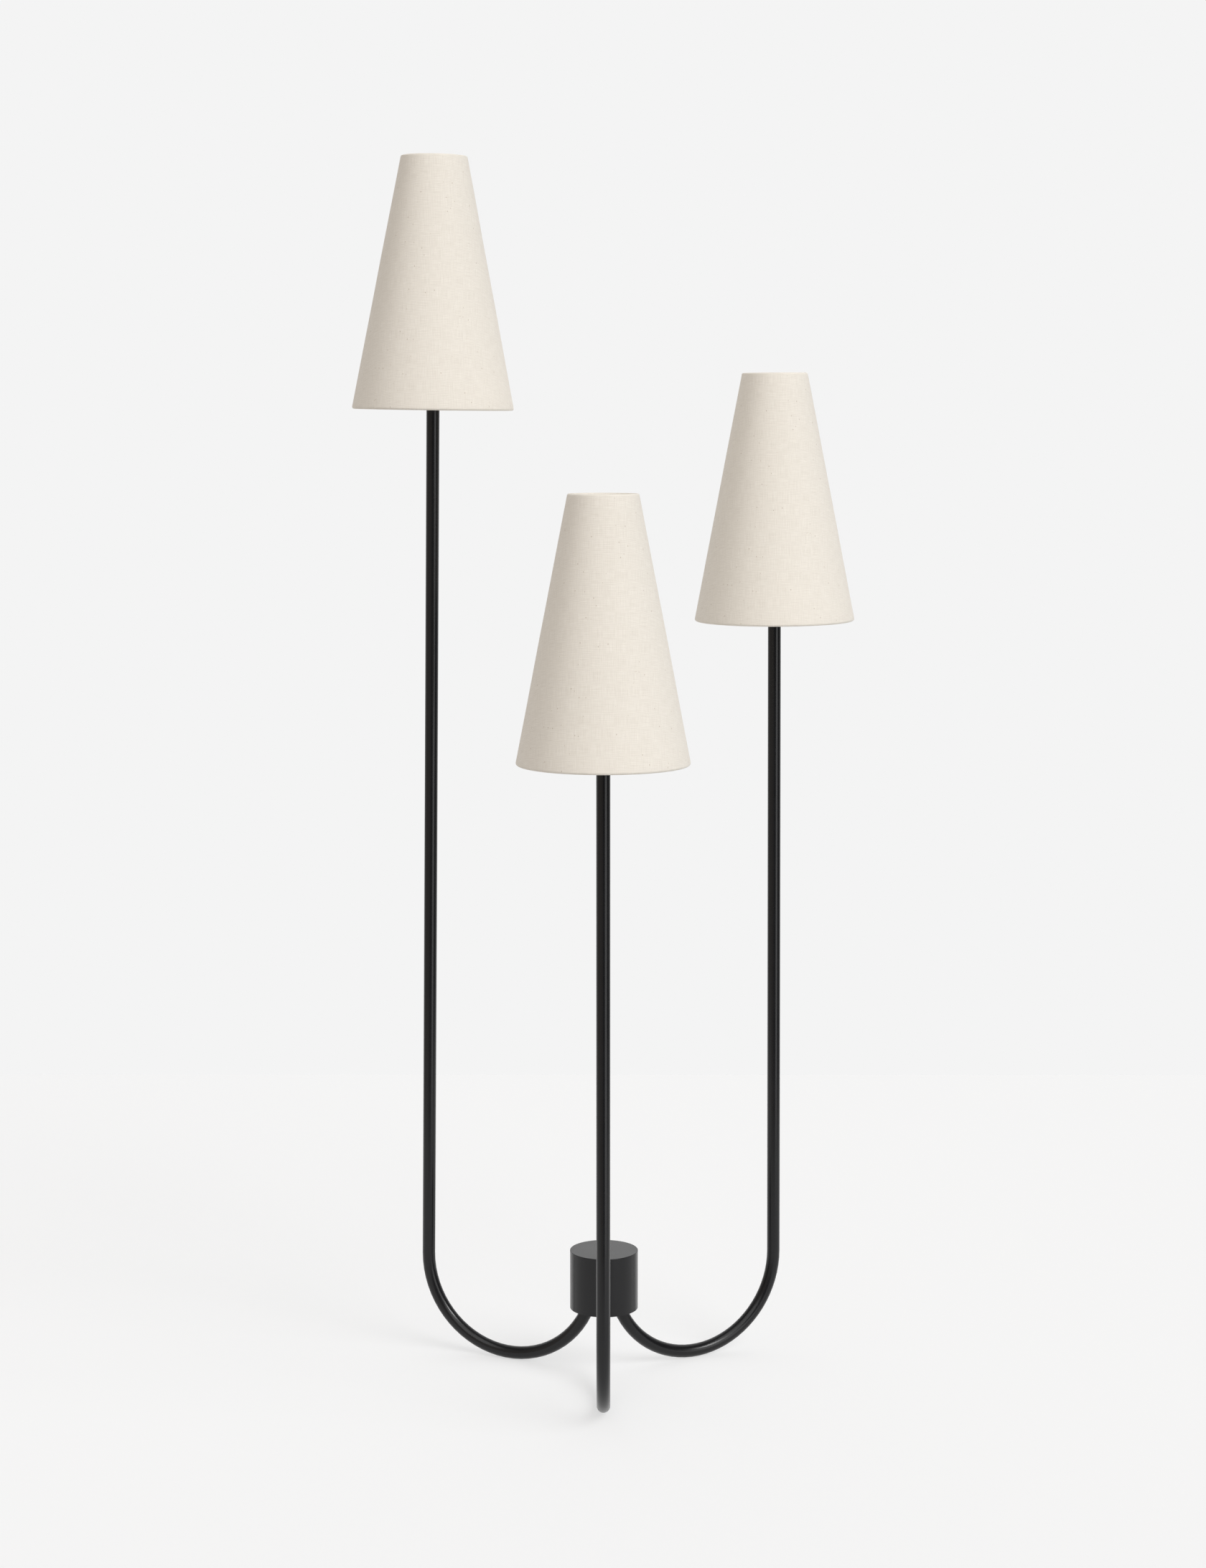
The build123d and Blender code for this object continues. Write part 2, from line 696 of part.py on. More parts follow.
    # Lining: stiff sheet that stands between the two rings, inside the cloth.
    lining_outside = roll_radius - cloth_thickness
    lining_inside = lining_outside - lining_thickness
    lining_margin = roll_radius + lining_thickness / 2
    with BuildPart() as lining:
        turn(
            arm.head_section,
            [
                bottom_ring + cone_normal * lining_inside + cone_line * lining_margin,
                bottom_ring + cone_normal * lining_outside + cone_line * lining_margin,
                top_ring + cone_normal * lining_outside - cone_line * lining_margin,
                top_ring + cone_normal * lining_inside - cone_line * lining_margin,
            ],
        )
    save(lining, f"shade_lining_{arm.name}")

    # Cover: linen cone, its two edges rolled over the rings.
    with BuildPart() as cover:
        with BuildSketch(arm.head_section):
            with BuildLine():
                bottom_roll = CenterArc(
                    bottom_ring, roll_radius, bottom_wrap_end, 360 + cone_angle - bottom_wrap_end
                )
                top_roll = CenterArc(top_ring, roll_radius, cone_angle, top_wrap_end - cone_angle)
                top_under = CenterArc(top_ring, lining_outside, cone_angle, top_wrap_end - cone_angle)
                bottom_under = CenterArc(
                    bottom_ring, lining_outside, bottom_wrap_end, 360 + cone_angle - bottom_wrap_end
                )
                Line(bottom_roll @ 1, top_roll @ 0)
                Line(top_roll @ 1, top_under @ 1)
                Line(top_under @ 0, bottom_under @ 1)
                Line(bottom_under @ 0, bottom_roll @ 0)
            make_face()
        revolve(axis=arm.axis)
    save(cover, f"shade_cover_{arm.name}")

    # Ring nut: clamps the fitter ring on the seat.
    with BuildPart() as ring_nut:
        extrude(
            tube_ring(arm.head.offset(fitter_top), ring_nut_radius, skirt_radius + ring_nut_clearance),
            amount=ring_nut_height,
        )
        with BuildSketch(arm.head.offset(fitter_top)):
            with PolarLocations(ring_nut_radius, ring_nut_groove_count):
                Circle(ring_nut_groove_radius)
        extrude(amount=ring_nut_height, mode=Mode.SUBTRACT)
    save(ring_nut, f"ring_nut_{arm.name}")

    # Bulb: solder tip, brass cap and opal glass.
    with BuildPart() as bulb_tip:
        with BuildSketch(arm.head.offset(tip_start)):
            Circle(tip_radius)
        extrude(amount=tip_height)
        fillet(bulb_tip.edges().filter_by(GeomType.CIRCLE).sort_by(arm.axis)[0], tip_height / 2)
    save(bulb_tip, f"bulb_tip_{arm.name}")

    with BuildPart() as bulb_cap:
        turn(
            arm.head_section,
            [
                (0, bulb_cap_start),
                (tip_radius, bulb_cap_start),
                (bulb_cap_radius, bulb_cap_start + bulb_cap_cone_height),
                (bulb_cap_radius, bulb_cap_top),
                (glass_neck_radius, bulb_cap_top),
                (glass_neck_radius, glass_neck_start),
                (0, glass_neck_start),
            ],
        )
    save(bulb_cap, f"bulb_cap_{arm.name}")

    with BuildPart() as bulb_glass:
        with BuildSketch(arm.head_section):
            for inset, mode in ((0, Mode.ADD), (glass_wall, Mode.SUBTRACT)):
                neck = glass_neck_radius - inset
                belly = glass_radius - inset
                start = glass_neck_start + inset
                with BuildLine():
                    Polyline((0, start), (neck, start), (neck, glass_neck_top))
                    Spline(
                        (neck, glass_neck_top),
                        *[(share * belly, height) for share, height in glass_curve],
                        (0, glass_top - inset),
                        tangents=[(0, 1), (-1, 0)],
                    )
                    Line((0, glass_top - inset), (0, start))
                make_face(mode=mode)
        revolve(axis=arm.axis)
    save(bulb_glass, f"bulb_glass_{arm.name}")
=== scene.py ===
import json
import math

import bmesh
import bpy
from mathutils import Matrix, Vector, noise


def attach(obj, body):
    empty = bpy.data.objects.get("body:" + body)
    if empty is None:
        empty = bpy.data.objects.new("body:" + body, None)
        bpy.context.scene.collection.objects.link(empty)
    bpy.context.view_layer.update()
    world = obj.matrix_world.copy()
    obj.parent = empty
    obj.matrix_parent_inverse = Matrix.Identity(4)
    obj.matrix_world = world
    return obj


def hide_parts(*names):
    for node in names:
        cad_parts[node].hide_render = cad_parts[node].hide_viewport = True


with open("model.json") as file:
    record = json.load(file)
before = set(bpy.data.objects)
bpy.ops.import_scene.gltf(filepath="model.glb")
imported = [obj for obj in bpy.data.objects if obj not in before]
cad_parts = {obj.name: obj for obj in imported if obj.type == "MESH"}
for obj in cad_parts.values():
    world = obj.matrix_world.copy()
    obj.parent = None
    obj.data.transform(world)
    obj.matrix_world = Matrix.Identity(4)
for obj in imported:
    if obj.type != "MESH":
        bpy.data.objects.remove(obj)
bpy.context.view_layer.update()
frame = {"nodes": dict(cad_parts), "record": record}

MM = 0.001

# --- Sizes of the shades and lampholders, as the CAD has them, in metres. Heights are measured
# --- along each arm from its top end.
HEM = -40.0 * MM
SHADE_TOP = 264.0 * MM
SHADE_BOTTOM_RADIUS = 98.5 * MM
SHADE_TOP_RADIUS = 40.5 * MM
ROLL_RADIUS = 2.5 * MM  # of the cloth's outside round each wire ring
CLOTH_THICKNESS = 0.8 * MM
BOTTOM_WRAP_END = math.radians(195.0)
TOP_WRAP_END = math.radians(185.0)
RING_NUT_MIDDLE = 43.5 * MM
SKIRT_RADIUS = 19.6 * MM
SKIRT_START = 48.0 * MM
SKIRT_TOP = 55.5 * MM
BULB_CAP_START = 36.3 * MM
BULB_CAP_CONE = 4.0 * MM
BULB_CAP_TOP = 58.0 * MM
BULB_CAP_RADIUS = 13.1 * MM
GLASS_NECK_RADIUS = 12.2 * MM
SOLDER_TIP_RADIUS = 4.4 * MM
SOLDER_GAP = 0.03 * MM  # keeps the cap off the tip that it turns on
SCREW_PITCH = 3.629 * MM

# --- Sizes that only the looks need.
SEAM_WIDTH = 9.0 * MM
SEAM_RISE = 0.45 * MM
# The seam's section, in shares of its width and of its rise: two thin edges and a flat back.
SEAM_SECTION = ((-0.5, -0.3), (-0.5, 0.75), (-0.42, 1.0), (0, 1.0), (0.44, 0.9), (0.5, 0.1), (0.5, -0.3))
HEM_WAVER = 0.22 * MM  # how far hand-rolled cloth strays from a true cone
WAVER_ACROSS = 16  # the waver's cells to a metre, across the shade and up it
WAVER_UP = 11
WAVER_STEP = 3.7  # from one shade to the next, so that each strays its own way
CAP_THREAD_DEPTH = 0.75 * MM
CAP_COLLAR = 1.2 * MM  # plain metal over the thread of a bulb's cap
CAP_RUN_OUT = 1.5 * MM  # the length over which that thread fades in and out
CREST_PITCH = 1.5 * MM
CREST_RADIUS = 0.3 * MM
CREST_SINK = 0.12 * MM
ROUND_STEPS = 160
SLANT_STEPS = 28
ROLL_STEPS = 18

BOTTOM_RING = Vector((SHADE_BOTTOM_RADIUS - ROLL_RADIUS, HEM + ROLL_RADIUS))
TOP_RING = Vector((SHADE_TOP_RADIUS - ROLL_RADIUS, SHADE_TOP - ROLL_RADIUS))
CONE_ANGLE = math.atan2(BOTTOM_RING.x - TOP_RING.x, TOP_RING.y - BOTTOM_RING.y)
CONE_NORMAL = Vector((math.cos(CONE_ANGLE), math.sin(CONE_ANGLE)))
# The cloth is cut flat as a sector of a ring: this is that ring's radius to the hem's edge.
HEM_DEVELOPED = (BOTTOM_RING.x + ROLL_RADIUS * CONE_NORMAL.x) / math.sin(CONE_ANGLE)

joints = {joint["name"]: joint for joint in frame["record"]["behaviour"]["joints"]}
ARMS = ("left", "right", "front")


# ---------------------------------------------------------------- helpers


def linear(hex_colour, alpha=1.0):
    """An sRGB hex colour as the linear values that shaders take."""
    channels = [int(hex_colour[i : i + 2], 16) / 255 for i in (1, 3, 5)]
    return (*[c / 12.92 if c <= 0.04045 else ((c + 0.055) / 1.055) ** 2.4 for c in channels], alpha)


def add(tree, kind, links=None, **settings):
    """Adds a node with its settings. links gives each input a value, or the output it is fed by."""
    node = tree.nodes.new(kind)
    for name, value in settings.items():
        setattr(node, name, value)
    for name, value in (links or {}).items():
        if isinstance(value, bpy.types.NodeSocket):
            tree.links.new(value, node.inputs[name])
        else:
            node.inputs[name].default_value = value
    return node


def new_finish(name, **values):
    """A material with its shader's uniform values set on the shader's own sockets."""
    material = bpy.data.materials.new(name)
    material.use_nodes = True
    shader = material.node_tree.nodes["Principled BSDF"]
    for socket, value in values.items():
        shader.inputs[socket.replace("_", " ")].default_value = value
    return material, material.node_tree, shader


def head_matrix(arm):
    """Places a piece that is made round +Z, with its foot on the arm's top end."""
    upward = Vector(joints["ring_nut_turn_" + arm]["axis"]).normalized()
    outward = Vector(joints["knob_turn_" + arm]["axis"]).normalized()
    sideways = upward.cross(outward)
    origin = Vector(joints["ring_nut_turn_" + arm]["pos_m"]) - upward * RING_NUT_MIDDLE
    turned = Matrix((outward, sideways, upward)).transposed().to_4x4()
    return Matrix.Translation(origin) @ turned


def as_piece(name, mesh, material=None):
    """Puts a finished mesh in the scene, at the origin, with smooth faces up to 35 degrees."""
    mesh.name = name
    piece = bpy.data.objects.new(name, mesh)
    bpy.context.scene.collection.objects.link(piece)
    if material:
        mesh.materials.clear()
        mesh.materials.append(material)
    mesh.polygons.foreach_set("use_smooth", [True] * len(mesh.polygons))
    mesh.set_sharp_from_angle(angle=math.radians(35))
    return piece


def grow(seed_mesh, tree, values):
    """Runs a node tree on a mesh and returns the plain mesh that it makes."""
    carrier = bpy.data.objects.new("carrier", seed_mesh)
    bpy.context.scene.collection.objects.link(carrier)
    modifier = carrier.modifiers.new("grow", "NODES")
    modifier.node_group = tree
    for item in tree.interface.items_tree:
        if item.in_out == "INPUT" and item.name in values:
            modifier[item.identifier] = values[item.name]
    bpy.context.view_layer.update()
    evaluated = carrier.evaluated_get(bpy.context.evaluated_depsgraph_get())
    mesh = bpy.data.meshes.new_from_object(evaluated)
    carrier.modifiers.remove(modifier)
    bpy.data.objects.remove(carrier)
    return mesh


def outward_faces(mesh):
    """Merges doubles and turns every face of a closed mesh outwards."""
    shell = bmesh.new()
    shell.from_mesh(mesh)
    bmesh.ops.remove_doubles(shell, verts=shell.verts, dist=1e-6)
    bmesh.ops.recalc_face_normals(shell, faces=shell.faces)
    shell.to_mesh(mesh)
    shell.free()


# ---------------------------------------------------------------- finishes


def satin_black_powder_coat():
    # Polyester powder, sprayed and baked: near black, satin, with a faint orange-peel skin.
    material, tree, shader = new_finish(
        "satin_black_powder_coat", Roughness=0.25, IOR=1.5, Specular_IOR_Level=0.37
    )
    place = add(tree, "ShaderNodeTexCoord").outputs["Object"]
    drift = add(tree, "ShaderNodeTexNoise", {"Vector": place, "Scale": 1 / (18 * MM), "Detail": 3.0})
    tone = add(tree, "ShaderNodeValToRGB", {"Fac": drift.outputs["Fac"]})
    tone.color_ramp.elements[0].color = linear("#0b0b0d")
    tone.color_ramp.elements[1].color = linear("#111113")
    tree.links.new(tone.outputs["Color"], shader.inputs["Base Color"])
    rough = add(
        tree,
        "ShaderNodeMapRange",
        {"Value": drift.outputs["Fac"], "From Min": 0.3, "From Max": 0.7, "To Min": 0.23, "To Max": 0.27},
    )
    tree.links.new(rough.outputs["Result"], shader.inputs["Roughness"])
    # Orange peel has dimples about 1.4 mm apart and a few hundredths of a millimetre deep.
    peel = add(tree, "ShaderNodeTexNoise", {"Vector": place, "Scale": 1 / (1.4 * MM), "Detail": 2.0})
    bump = add(
        tree, "ShaderNodeBump", {"Height": peel.outputs["Fac"], "Strength": 0.35, "Distance": 0.03 * MM}
    )
    tree.links.new(bump.outputs["Normal"], shader.inputs["Normal"])
    return material


def slubby_natural_linen():
    # Oatmeal linen, plain woven from uneven yarn: matt, with thick slubs both ways, and a few
    # brown flecks of husk. The piece's own UV map is the flat cloth in metres.
    material, tree, shader = new_finish(
        "slubby_natural_linen", Roughness=0.92, IOR=1.45, Specular_IOR_Level=0.18, Sheen_Weight=0.12
    )
    shader.inputs["Sheen Roughness"].default_value = 0.6
    flat = add(tree, "ShaderNodeTexCoord").outputs["UV"]
    # Real yarns lie about 0.6 mm apart, in weft (across) and warp (down). They are drawn 1.2 mm
    # apart, as coarse as they need to show. A wave texture has 20 / (2 pi) bands to its unit.
    bands = {"Vector": flat, "Scale": 2 * math.pi / 20 / (1.2 * MM), "Distortion": 1.6, "Detail": 1.0}
    weft = add(tree, "ShaderNodeTexWave", bands, bands_direction="Y")
    warp = add(tree, "ShaderNodeTexWave", bands, bands_direction="X")
    # Slubs: 14 mm long and 0.8 mm thick along the weft, and thinner along the warp.
    weft_run = add(tree, "ShaderNodeMapping", {"Vector": flat, "Scale": (1 / (14 * MM), 1 / (0.8 * MM), 1.0)})
    weft_slub = add(tree, "ShaderNodeTexNoise", {"Vector": weft_run.outputs[0], "Scale": 1.0, "Detail": 4.0})
    warp_run = add(tree, "ShaderNodeMapping", {"Vector": flat, "Scale": (1 / (0.6 * MM), 1 / (16 * MM), 1.0)})
    warp_slub = add(tree, "ShaderNodeTexNoise", {"Vector": warp_run.outputs[0], "Scale": 1.0, "Detail": 4.0})
    yarn = add(
        tree, "ShaderNodeMath", {0: weft.outputs["Fac"], 1: warp.outputs["Fac"]}, operation="MULTIPLY"
    )
    slub = add(
        tree, "ShaderNodeMath", {0: weft_slub.outputs["Fac"], 1: warp_slub.outputs["Fac"]}, operation="ADD"
    )
    tone = add(
        tree,
        "ShaderNodeMapRange",
        {"Value": slub.outputs[0], "From Min": 0.8, "From Max": 1.23, "To Min": 0.0, "To Max": 1.0},
    )
    cloth = add(tree, "ShaderNodeMix", {"Factor": tone.outputs["Result"]}, data_type="RGBA")
    cloth.inputs["A"].default_value = linear("#e4ddd2")
    cloth.inputs["B"].default_value = linear("#efe9df")
    # Gaps between the yarns are a little darker.
    gaps = add(
        tree,
        "ShaderNodeMapRange",
        {"Value": yarn.outputs[0], "From Min": 0.0, "From Max": 0.5, "To Min": 0.93, "To Max": 1.0},
    )
    woven = add(
        tree,
        "ShaderNodeMix",
        {"Factor": 1.0, "A": cloth.outputs["Result"], "B": gaps.outputs["Result"]},
        data_type="RGBA",
        blend_type="MULTIPLY",
    )
    # Flecks of husk, under a millimetre across and twice as long, one to a square centimetre.
    husk_run = add(tree, "ShaderNodeMapping", {"Vector": flat, "Scale": (1 / (5 * MM), 1 / (10 * MM), 1.0)})
    husk = add(
        tree, "ShaderNodeTexVoronoi", {"Vector": husk_run.outputs[0], "Scale": 1.0, "Randomness": 1.0}
    )
    fleck = add(
        tree,
        "ShaderNodeMapRange",
        {
            "Value": husk.outputs["Distance"],
            "From Min": 0.05,
            "From Max": 0.11,
            "To Min": 1.0,
            "To Max": 0.0,
        },
    )
    chosen = add(tree, "ShaderNodeMath", {0: husk.outputs["Color"], 1: 0.5}, operation="GREATER_THAN")
    fleck_share = add(
        tree, "ShaderNodeMath", {0: fleck.outputs["Result"], 1: chosen.outputs[0]}, operation="MULTIPLY"
    )
    fleck_faint = add(tree, "ShaderNodeMath", {0: fleck_share.outputs[0], 1: 0.6}, operation="MULTIPLY")
    flecked = add(
        tree,
        "ShaderNodeMix",
        {"Factor": fleck_faint.outputs[0], "A": woven.outputs["Result"]},
        data_type="RGBA",
    )
    flecked.inputs["B"].default_value = linear("#9c8467")
    tree.links.new(flecked.outputs["Result"], shader.inputs["Base Color"])
    relief = add(
        tree, "ShaderNodeMath", {0: slub.outputs[0], 1: 1.2, 2: yarn.outputs[0]}, operation="MULTIPLY_ADD"
    )
    bump = add(
        tree, "ShaderNodeBump", {"Height": relief.outputs[0], "Strength": 0.4, "Distance": 0.12 * MM}
    )
    tree.links.new(bump.outputs["Normal"], shader.inputs["Normal"])
    return material


def mottled(name, dark, light, size, peel_size, peel_depth, **values):
    """A finish whose tone drifts between two colours, with a fine relief of a real size and depth."""
    material, tree, shader = new_finish(name, **values)
    place = add(tree, "ShaderNodeTexCoord").outputs["Object"]
    drift = add(tree, "ShaderNodeTexNoise", {"Vector": place, "Scale": 1 / size, "Detail": 3.0})
    tone = add(tree, "ShaderNodeMix", {"Factor": drift.outputs["Fac"]}, data_type="RGBA")
    tone.inputs["A"].default_value = linear(dark)
    tone.inputs["B"].default_value = linear(light)
    tree.links.new(tone.outputs["Result"], shader.inputs["Base Color"])
    peel = add(tree, "ShaderNodeTexNoise", {"Vector": place, "Scale": 1 / peel_size, "Detail": 2.0})
    bump = add(
        tree, "ShaderNodeBump", {"Height": peel.outputs["Fac"], "Strength": 0.5, "Distance": peel_depth}
    )
    tree.links.new(bump.outputs["Normal"], shader.inputs["Normal"])
    rough = add(
        tree,
        "ShaderNodeMapRange",
        {
            "Value": drift.outputs["Fac"],
            "To Min": values["Roughness"] * 0.85,
            "To Max": values["Roughness"] * 1.15,
        },
    )
    tree.links.new(rough.outputs["Result"], shader.inputs["Roughness"])
    return material


finishes = {
    "black_steel": satin_black_powder_coat(),
    "linen": slubby_natural_linen(),
    # Calendered polystyrene sheet: smooth, off-white, slightly glossy.
    "white_styrene": mottled(
        "calendered_white_styrene", "#ece8de", "#f5f2ea", 60 * MM, 3 * MM, 0.02 * MM, Roughness=0.36, IOR=1.59
    ),
    # White epoxy on drawn wire: glossy, with a soft skin.
    "ring_wire": mottled(
        "white_epoxy_on_wire", "#dedbd2", "#eeece5", 8 * MM, 0.9 * MM, 0.03 * MM, Roughness=0.3, IOR=1.55
    ),
    # Zinc plating on turned steel: pale, bluish, slightly spangled.
    "zinc_steel": mottled(
        "zinc_plated_steel", "#9fa3a8", "#c4c7ca", 2 * MM, 0.3 * MM, 0.01 * MM, Roughness=0.34, Metallic=1.0
    ),
    # Milled cast iron, oiled: dark grey with the cutter's marks.
    "cast_plate": mottled(
        "oiled_milled_iron", "#4c4d50", "#66686b", 5 * MM, 0.6 * MM, 0.03 * MM, Roughness=0.48, Metallic=1.0
    ),
    # Phenolic moulding: black, half glossy, with a slight grain.
    "black_plastic": mottled(
        "black_phenolic_moulding", "#141312", "#1e1d1c", 6 * MM, 0.5 * MM, 0.02 * MM, Roughness=0.34, IOR=1.6
    ),
    # Nylon moulding: milky, dull.
    "white_plastic": mottled(
        "milky_nylon_moulding", "#dcd9cd", "#ebe8de", 7 * MM, 0.4 * MM, 0.02 * MM, Roughness=0.5, IOR=1.53
    ),
    # Extruded PVC sleeve on the leads: black, waxy.
    "lead_sleeve": mottled(
        "extruded_black_pvc", "#151517", "#202023", 5 * MM, 0.7 * MM, 0.02 * MM, Roughness=0.46, IOR=1.53
    ),
    # Glazed porcelain: warm white, glossy, with tiny pits.
    "porcelain": mottled(
        "glazed_porcelain", "#e2ded2", "#f0ede3", 9 * MM, 0.8 * MM, 0.02 * MM, Roughness=0.14, IOR=1.5
    ),
    # Drawn brass, bare: yellow, with faint dull patches.
    "brass": mottled(
        "drawn_brass", "#b58b45", "#d1ab66", 6 * MM, 0.5 * MM, 0.015 * MM, Roughness=0.28, Metallic=1.0
    ),
    # Rolled aluminium of a bulb's cap: bright, with rolling marks.
    "bulb_cap_metal": mottled(
        "rolled_bulb_cap_aluminium",
        "#b4b5b4",
        "#d2d2cf",
        4 * MM,
        0.4 * MM,
        0.02 * MM,
        Roughness=0.3,
        Metallic=1.0,
    ),
    # Solder: dull grey, lumpy.
    "solder": mottled(
        "dull_solder", "#818385", "#a2a4a5", 1.5 * MM, 0.8 * MM, 0.08 * MM, Roughness=0.48, Metallic=1.0
    ),
    # Opal glass, etched inside: milky white with a smooth glossy outside.
    "opal_glass": mottled(
        "inside_frosted_opal_glass", "#efebe1", "#f8f5ee", 12 * MM, 4 * MM, 0.02 * MM, Roughness=0.2, IOR=1.52
    ),
}

for part in frame["record"]["subparts"]:
    for slot in frame["nodes"][part["node"]].material_slots:
        slot.material = finishes[part["material_slot"]]


# ---------------------------------------------------------------- shades


def cloth_section():
    """The cloth's closed outline in (radius, height): rolled hem, slant, rolled top and back inside."""
    def roll(centre, radius, start, end):
        return [
            centre
            + radius
            * Vector(
                (
                    math.cos(start + (end - start) * i / ROLL_STEPS),
                    math.sin(start + (end - start) * i / ROLL_STEPS),
                )
            )
            for i in range(ROLL_STEPS + 1)
        ]

    inner = ROLL_RADIUS - CLOTH_THICKNESS
    hem_end = CONE_ANGLE + 2 * math.pi
    outside = roll(BOTTOM_RING, ROLL_RADIUS, BOTTOM_WRAP_END, hem_end)
    outside_top = roll(TOP_RING, ROLL_RADIUS, CONE_ANGLE, TOP_WRAP_END)
    inside_top = roll(TOP_RING, inner, TOP_WRAP_END, CONE_ANGLE)
    inside = roll(BOTTOM_RING, inner, hem_end, BOTTOM_WRAP_END)

    def slant(start, end):
        return [start.lerp(end, i / SLANT_STEPS) for i in range(1, SLANT_STEPS)]

    return (
        outside
        + slant(outside[-1], outside_top[0])
        + outside_top
        + inside_top
        + slant(inside_top[-1], inside[0])
        + inside
    )


def sweep_round_tree():
    """Node tree: sweeps the seed outline round a circle of a named radius."""
    tree = bpy.data.node_groups.new("sweep outline round the shade", "GeometryNodeTree")
    tree.interface.new_socket("Outline", in_out="INPUT", socket_type="NodeSocketGeometry")
    tree.interface.new_socket("Path radius", in_out="INPUT", socket_type="NodeSocketFloat")
    tree.interface.new_socket("Steps round", in_out="INPUT", socket_type="NodeSocketInt")
    tree.interface.new_socket("Cloth", in_out="INPUT", socket_type="NodeSocketMaterial")
    tree.interface.new_socket("Shade", in_out="OUTPUT", socket_type="NodeSocketGeometry")
    given = add(tree, "NodeGroupInput").outputs
    outline = add(tree, "GeometryNodeMeshToCurve", {"Mesh": given["Outline"]})
    path = add(
        tree,
        "GeometryNodeCurvePrimitiveCircle",
        {"Resolution": given["Steps round"], "Radius": given["Path radius"]},
    )
    swept = add(
        tree,
        "GeometryNodeCurveToMesh",
        {"Curve": path.outputs["Curve"], "Profile Curve": outline.outputs["Curve"]},
    )
    real = add(tree, "GeometryNodeRealizeInstances", {"Geometry": swept.outputs["Mesh"]})
    dressed = add(
        tree,
        "GeometryNodeSetMaterial",
        {"Geometry": real.outputs["Geometry"], "Material": given["Cloth"]},
    )
    add(tree, "NodeGroupOutput", {"Shade": dressed.outputs["Geometry"]})
    return tree


def helix_tree():
    """Node tree: a thread's crest, a thin round rib along a spiral of named sizes."""
    tree = bpy.data.node_groups.new("thread crest", "GeometryNodeTree")
    tree.interface.new_socket("Seed", in_out="INPUT", socket_type="NodeSocketGeometry")
    for size in ("Thread radius", "Length", "Turns", "Crest radius"):
        tree.interface.new_socket(size, in_out="INPUT", socket_type="NodeSocketFloat")
    tree.interface.new_socket("Metal", in_out="INPUT", socket_type="NodeSocketMaterial")
    tree.interface.new_socket("Crest", in_out="OUTPUT", socket_type="NodeSocketGeometry")
    given = add(tree, "NodeGroupInput").outputs
    spiral = add(
        tree,
        "GeometryNodeCurveSpiral",
        {
            "Resolution": 56,
            "Rotations": given["Turns"],
            "Start Radius": given["Thread radius"],
            "End Radius": given["Thread radius"],
            "Height": given["Length"],
        },
    )
    rib = add(tree, "GeometryNodeCurvePrimitiveCircle", {"Resolution": 6, "Radius": given["Crest radius"]})
    swept = add(
        tree,
        "GeometryNodeCurveToMesh",
        {"Curve": spiral.outputs["Curve"], "Profile Curve": rib.outputs["Curve"], "Fill Caps": True},
    )
    real = add(tree, "GeometryNodeRealizeInstances", {"Geometry": swept.outputs["Mesh"]})
    dressed = add(
        tree,
        "GeometryNodeSetMaterial",
        {"Geometry": real.outputs["Geometry"], "Material": given["Metal"]},
    )
    add(tree, "NodeGroupOutput", {"Crest": dressed.outputs["Geometry"]})
    return tree


def lay_flat(mesh, seam_direction):
    """Gives cloth the UV map of its flat cut, in metres. The seam lies at seam_direction."""
    flat = mesh.uv_layers.new(name="flat_cloth")
    for face in mesh.polygons:
        first = None
        for corner in face.loop_indices:
            spot = mesh.vertices[mesh.loops[corner].vertex_index].co
            turn = math.atan2(spot.y, spot.x) - seam_direction - math.pi
            turn = (turn + math.pi) % (2 * math.pi) - math.pi
            if first is None:
                first = turn
            elif turn - first > math.pi:
                turn -= 2 * math.pi
            elif first - turn > math.pi:
                turn += 2 * math.pi
            reach = HEM_DEVELOPED - (spot.z - HEM) / math.cos(CONE_ANGLE)
            swing = turn * math.sin(CONE_ANGLE)
            flat.data[corner].uv = (reach * math.sin(swing), -reach * math.cos(swing))


def stray(mesh, seed):
    """Moves cloth a little off the true cone, as hand-rolled cloth lies, by one smooth field."""
    for vertex in mesh.vertices:
        spot = vertex.co
        push = noise.noise(Vector((spot.x * WAVER_ACROSS, spot.y * WAVER_ACROSS, spot.z * WAVER_UP + seed)))
        outward = Vector((spot.x, spot.y, 0)).normalized()
        vertex.co = spot + outward * push * HEM_WAVER


section_points = cloth_section()
path_radius = (BOTTOM_RING.x + TOP_RING.x) / 2
sweep_round = sweep_round_tree()
helix = helix_tree()


def outline_mesh(points):
    """A closed loop of edges for the sweep. The sweep turns x outwards and y downwards."""
    mesh = bpy.data.meshes.new("outline")
    loop = [(point.x - path_radius, -point.y, 0) for point in points]
    edges = [(i, (i + 1) % len(loop)) for i in range(len(loop))]
    mesh.from_pydata(loop, edges, [])
    return mesh


